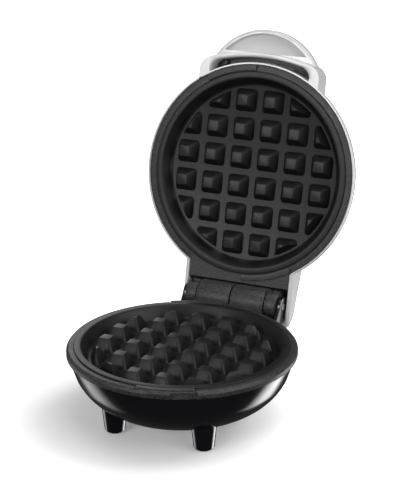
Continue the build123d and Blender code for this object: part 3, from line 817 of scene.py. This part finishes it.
metalLook = {  # dark, light, roughness
    "shield_steel": ((0.5, 0.5, 0.51), (0.68, 0.68, 0.69), 0.3),
    "screw_steel": ((0.42, 0.42, 0.43), (0.62, 0.61, 0.6), 0.32),
    "control_metal": ((0.4, 0.4, 0.41), (0.6, 0.6, 0.6), 0.38),
    "element_sheath": ((0.2, 0.18, 0.16), (0.4, 0.38, 0.36), 0.48),
}


def makeMetal(name, dark, light, roughness):
    material, tree, shader, spot = newFinish(name, {"Metallic": 1.0})
    stretched = spot.make("ShaderNodeMapping", None, {"Vector": spot, "Scale": (1, 14, 14)})
    brush = stretched.noise(2.5, 4, 0.7)
    stain = spot.noise(6, 4, 0.6, 0.5).ramp((0.35, 0), (0.75, 1))
    colour = (stain * 0.7 + brush * 0.3).blend(dark, light)
    connect(tree, shader, colour, brush * 0.18 + (roughness - 0.09), brush, 0.2, 0.02, 0)
    return material


plainLook = {  # dark, light, roughness, size of the grain, share of light let through
    "pad_rubber": ((0.012, 0.012, 0.012), (0.03, 0.03, 0.03), 0.75, 0.5, 0.0),
    "block_plastic": ((0.6, 0.58, 0.5), (0.72, 0.7, 0.62), 0.5, 0.8, 0.0),
    "lens_plastic": ((0.42, 0.03, 0.01), (0.62, 0.07, 0.03), 0.12, 1.2, 0.35),
    "lamp_glass": ((0.5, 0.3, 0.2), (0.7, 0.5, 0.35), 0.1, 1.0, 0.35),
}


def makePlain(name, dark, light, roughness, grainSize, through):
    material, tree, shader, spot = newFinish(name, {"Transmission Weight": through, "IOR": 1.485})
    cloud = spot.noise(5, 4, 0.6)
    grain = spot.noise(grainSize, 3, 0.6)
    connect(tree, shader, cloud.blend(dark, light), grain * 0.12 + (roughness - 0.06), grain, 0.25, 0.03, 0)
    return material


finishes = {
    "gloss_black": makeGlossBlack(glossBlackLook), "satin_black": makeSatinBlack(satinLook),
    "nonstick": makeNonStick(nonStickLook), "gloss_white": makeWhite("moulded_gloss_white", whiteLook),
}
for slotName, look in metalLook.items():
    finishes[slotName] = makeMetal(slotName, *look)
for slotName, look in plainLook.items():
    finishes[slotName] = makePlain(slotName, *look)
# the darker white that paints shade on the recess floor
recessShadedWhite = makeWhite("recess_painted_shade_white", recessShadeLook)


def dress(piece, material):
    piece.data.materials.clear()
    piece.data.materials.append(material)


for piece, slotName in (
        (bowlShell, "gloss_black"), (bezelRing, "satin_black"), (lowerGrid, "nonstick"), (upperGrid, "nonstick"),
        (lidShell, "gloss_white"), (lidRing, "satin_black"), (pocketLiner, "satin_black"),
        (rubberPads, "pad_rubber"), (inletBush, "satin_black"), (lampLens, "lens_plastic")):
    dress(piece, finishes[slotName])
for part in frame["record"]["subparts"]:
    node = frame["nodes"][part["node"]]
    dress(node, finishes[part["material_slot"]])

# the floor of the half-moon recess gets a darker copy of the cover's white: painted shade in the recess
lidShell.data.materials.append(recessShadedWhite)
recessReach = cover["gripRadius"] - cover["lip"] + 0.1
closeTurn = turnAbout(hingePoint, -openTurn).inverted()
for face in lidShell.data.polygons:
    middle = fromPlace(closeTurn @ face.center)
    inMoon = math.hypot(middle.x, middle.y - cover["gripY"]) < recessReach and middle.y < cover["trayFront"] + 0.1
    if inMoon and cover["gripUnder"] + 0.2 < middle.z - parting < cover["recess"] + 0.05:
        face.material_index = 1
print("stage: materials")


# floor, light and camera
studio = {
    # the floor's glow is lowest in a disc round the shade point near the feet: a painted shadow
    "floorSize": 40.0, "floor": 0.88, "paintedShadowGlow": 0.2, "farGlow": 1.0, "paintedShadowReach": 0.05, "farReach": 0.11,
    "shade": (-0.022, -0.05, 0), "sky": 0.2, "leftGlow": 2.1, "rightGlow": 6.0, "deepTone": 0.05,
    "rightWay": (0.917, 0.399, 0), "farWay": (-0.399, 0.917, 0),
    "side": ((0.42, 0), (0.6, 1)), "away": ((0.15, 0), (0.38, 1), (0.53, 1), (0.69, 0)),
    "view": (0.33621, -0.76895, 0.39278), "viewBack": (0.3752, -0.8625, 0.3395), "lens": 117.5,
    "lamps": [  # size across and down, power, place, aim
        ("topBox", 0.9, 0.9, 6.0, (0.2, -0.1, 1.35), (0, 0, 0)),
        ("frontBox", 0.6, 0.4, 6.0, (-0.35, -1.2, 0.55), (0, 0.05, 0.12)),
        ("sideBox", 1.0, 0.8, 6.0, (1.0, -0.2, 0.5), (0, 0, 0.06)),
        ("backBox", 0.7, 0.5, 3.2, (-0.9, 1.1, 0.65), (0, 0, 0.06)),
    ],
}


def aimed(eye, target):
    way = (Vector(target) - Vector(eye)).normalized()
    return way.to_track_quat("-Z", "Y").to_euler()


def makeFloor(s):
    clearSelection()
    bpy.ops.mesh.primitive_plane_add(size=s["floorSize"], location=(0, 0, 0))
    floor = bpy.context.active_object
    floor.name = "studioFloor"
    material, tree, shader, spot = newFinish("studio_floor", {"Roughness": 0.75})
    shader.inputs["Base Color"].default_value = (s["floor"], s["floor"], s["floor"], 1)
    shader.inputs["Emission Color"].default_value = (1, 1, 1, 1)
    # the floor glows evenly far off and less in a disc round the shade point near the feet: a painted shadow there,
    # on top of the shadow the feet cast
    far = spot.make("ShaderNodeVectorMath", {"operation": "DISTANCE"}, {0: spot, 1: s["shade"]}, 1)
    glow = far.ramp((s["paintedShadowReach"], 0), (s["farReach"], 1)) * (s["farGlow"] - s["paintedShadowGlow"]) + s["paintedShadowGlow"]
    tree.links.new(glow.socket, shader.inputs["Emission Strength"])
    dress(floor, material)
    floor.visible_glossy = False  # the object sees the studio's own light panels instead
    floor.visible_diffuse = False


def makeWorld(s):
    # an even sky above, and below it a dark middle between two bright side panels
    world = bpy.data.worlds.new("studio")
    bpy.context.scene.world = world
    world.use_nodes = True
    way = Signal(world.node_tree).make("ShaderNodeTexCoord", None, None, 0)
    across = way.make("ShaderNodeVectorMath", {"operation": "DOT_PRODUCT"}, {0: way, 1: s["rightWay"]}, 1)
    away = way.make("ShaderNodeVectorMath", {"operation": "DOT_PRODUCT"}, {0: way, 1: s["farWay"]}, 1)
    height = way.make("ShaderNodeSeparateXYZ", None, {0: way}, 2)
    right = across.ramp(*s["side"]) * (s["rightGlow"] - s["deepTone"])
    left = (across * -1.0).ramp(*s["side"]) * (s["leftGlow"] - s["deepTone"])
    above = (height * 0.5 + 0.5).ramp((0.49, 0), (0.51, 1))
    below = (right + left) * away.ramp(*s["away"]) + s["deepTone"]
    strength = above * s["sky"] + (1 - above) * below
    background = world.node_tree.nodes["Background"]
    world.node_tree.links.new(strength.socket, background.inputs["Strength"])
    background.inputs["Color"].default_value = (1, 1, 1, 1)


def makeLamps(s):
    for name, wide, tall, power, eye, target in s["lamps"]:
        bpy.ops.object.light_add(type="AREA", location=eye, rotation=aimed(eye, target))
        lamp = bpy.context.active_object
        lamp.name = name
        lamp.data.shape = "RECTANGLE"
        lamp.data.size = wide
        lamp.data.size_y = tall
        lamp.data.energy = power


def makeCamera(s):
    bpy.ops.object.camera_add(location=s["view"])
    camera = bpy.context.active_object
    camera.name = "photoCamera"
    camera.rotation_euler = Vector(s["viewBack"]).to_track_quat("Z", "Y").to_euler()
    camera.data.lens = s["lens"]
    camera.data.sensor_width = 36
    camera.data.sensor_fit = "AUTO"
    camera.data.clip_start = 0.05
    bpy.context.scene.camera = camera


makeFloor(studio)
makeWorld(studio)
makeLamps(studio)
makeCamera(studio)
bpy.context.scene.view_settings.view_transform = "Standard"
print("stage: studio")
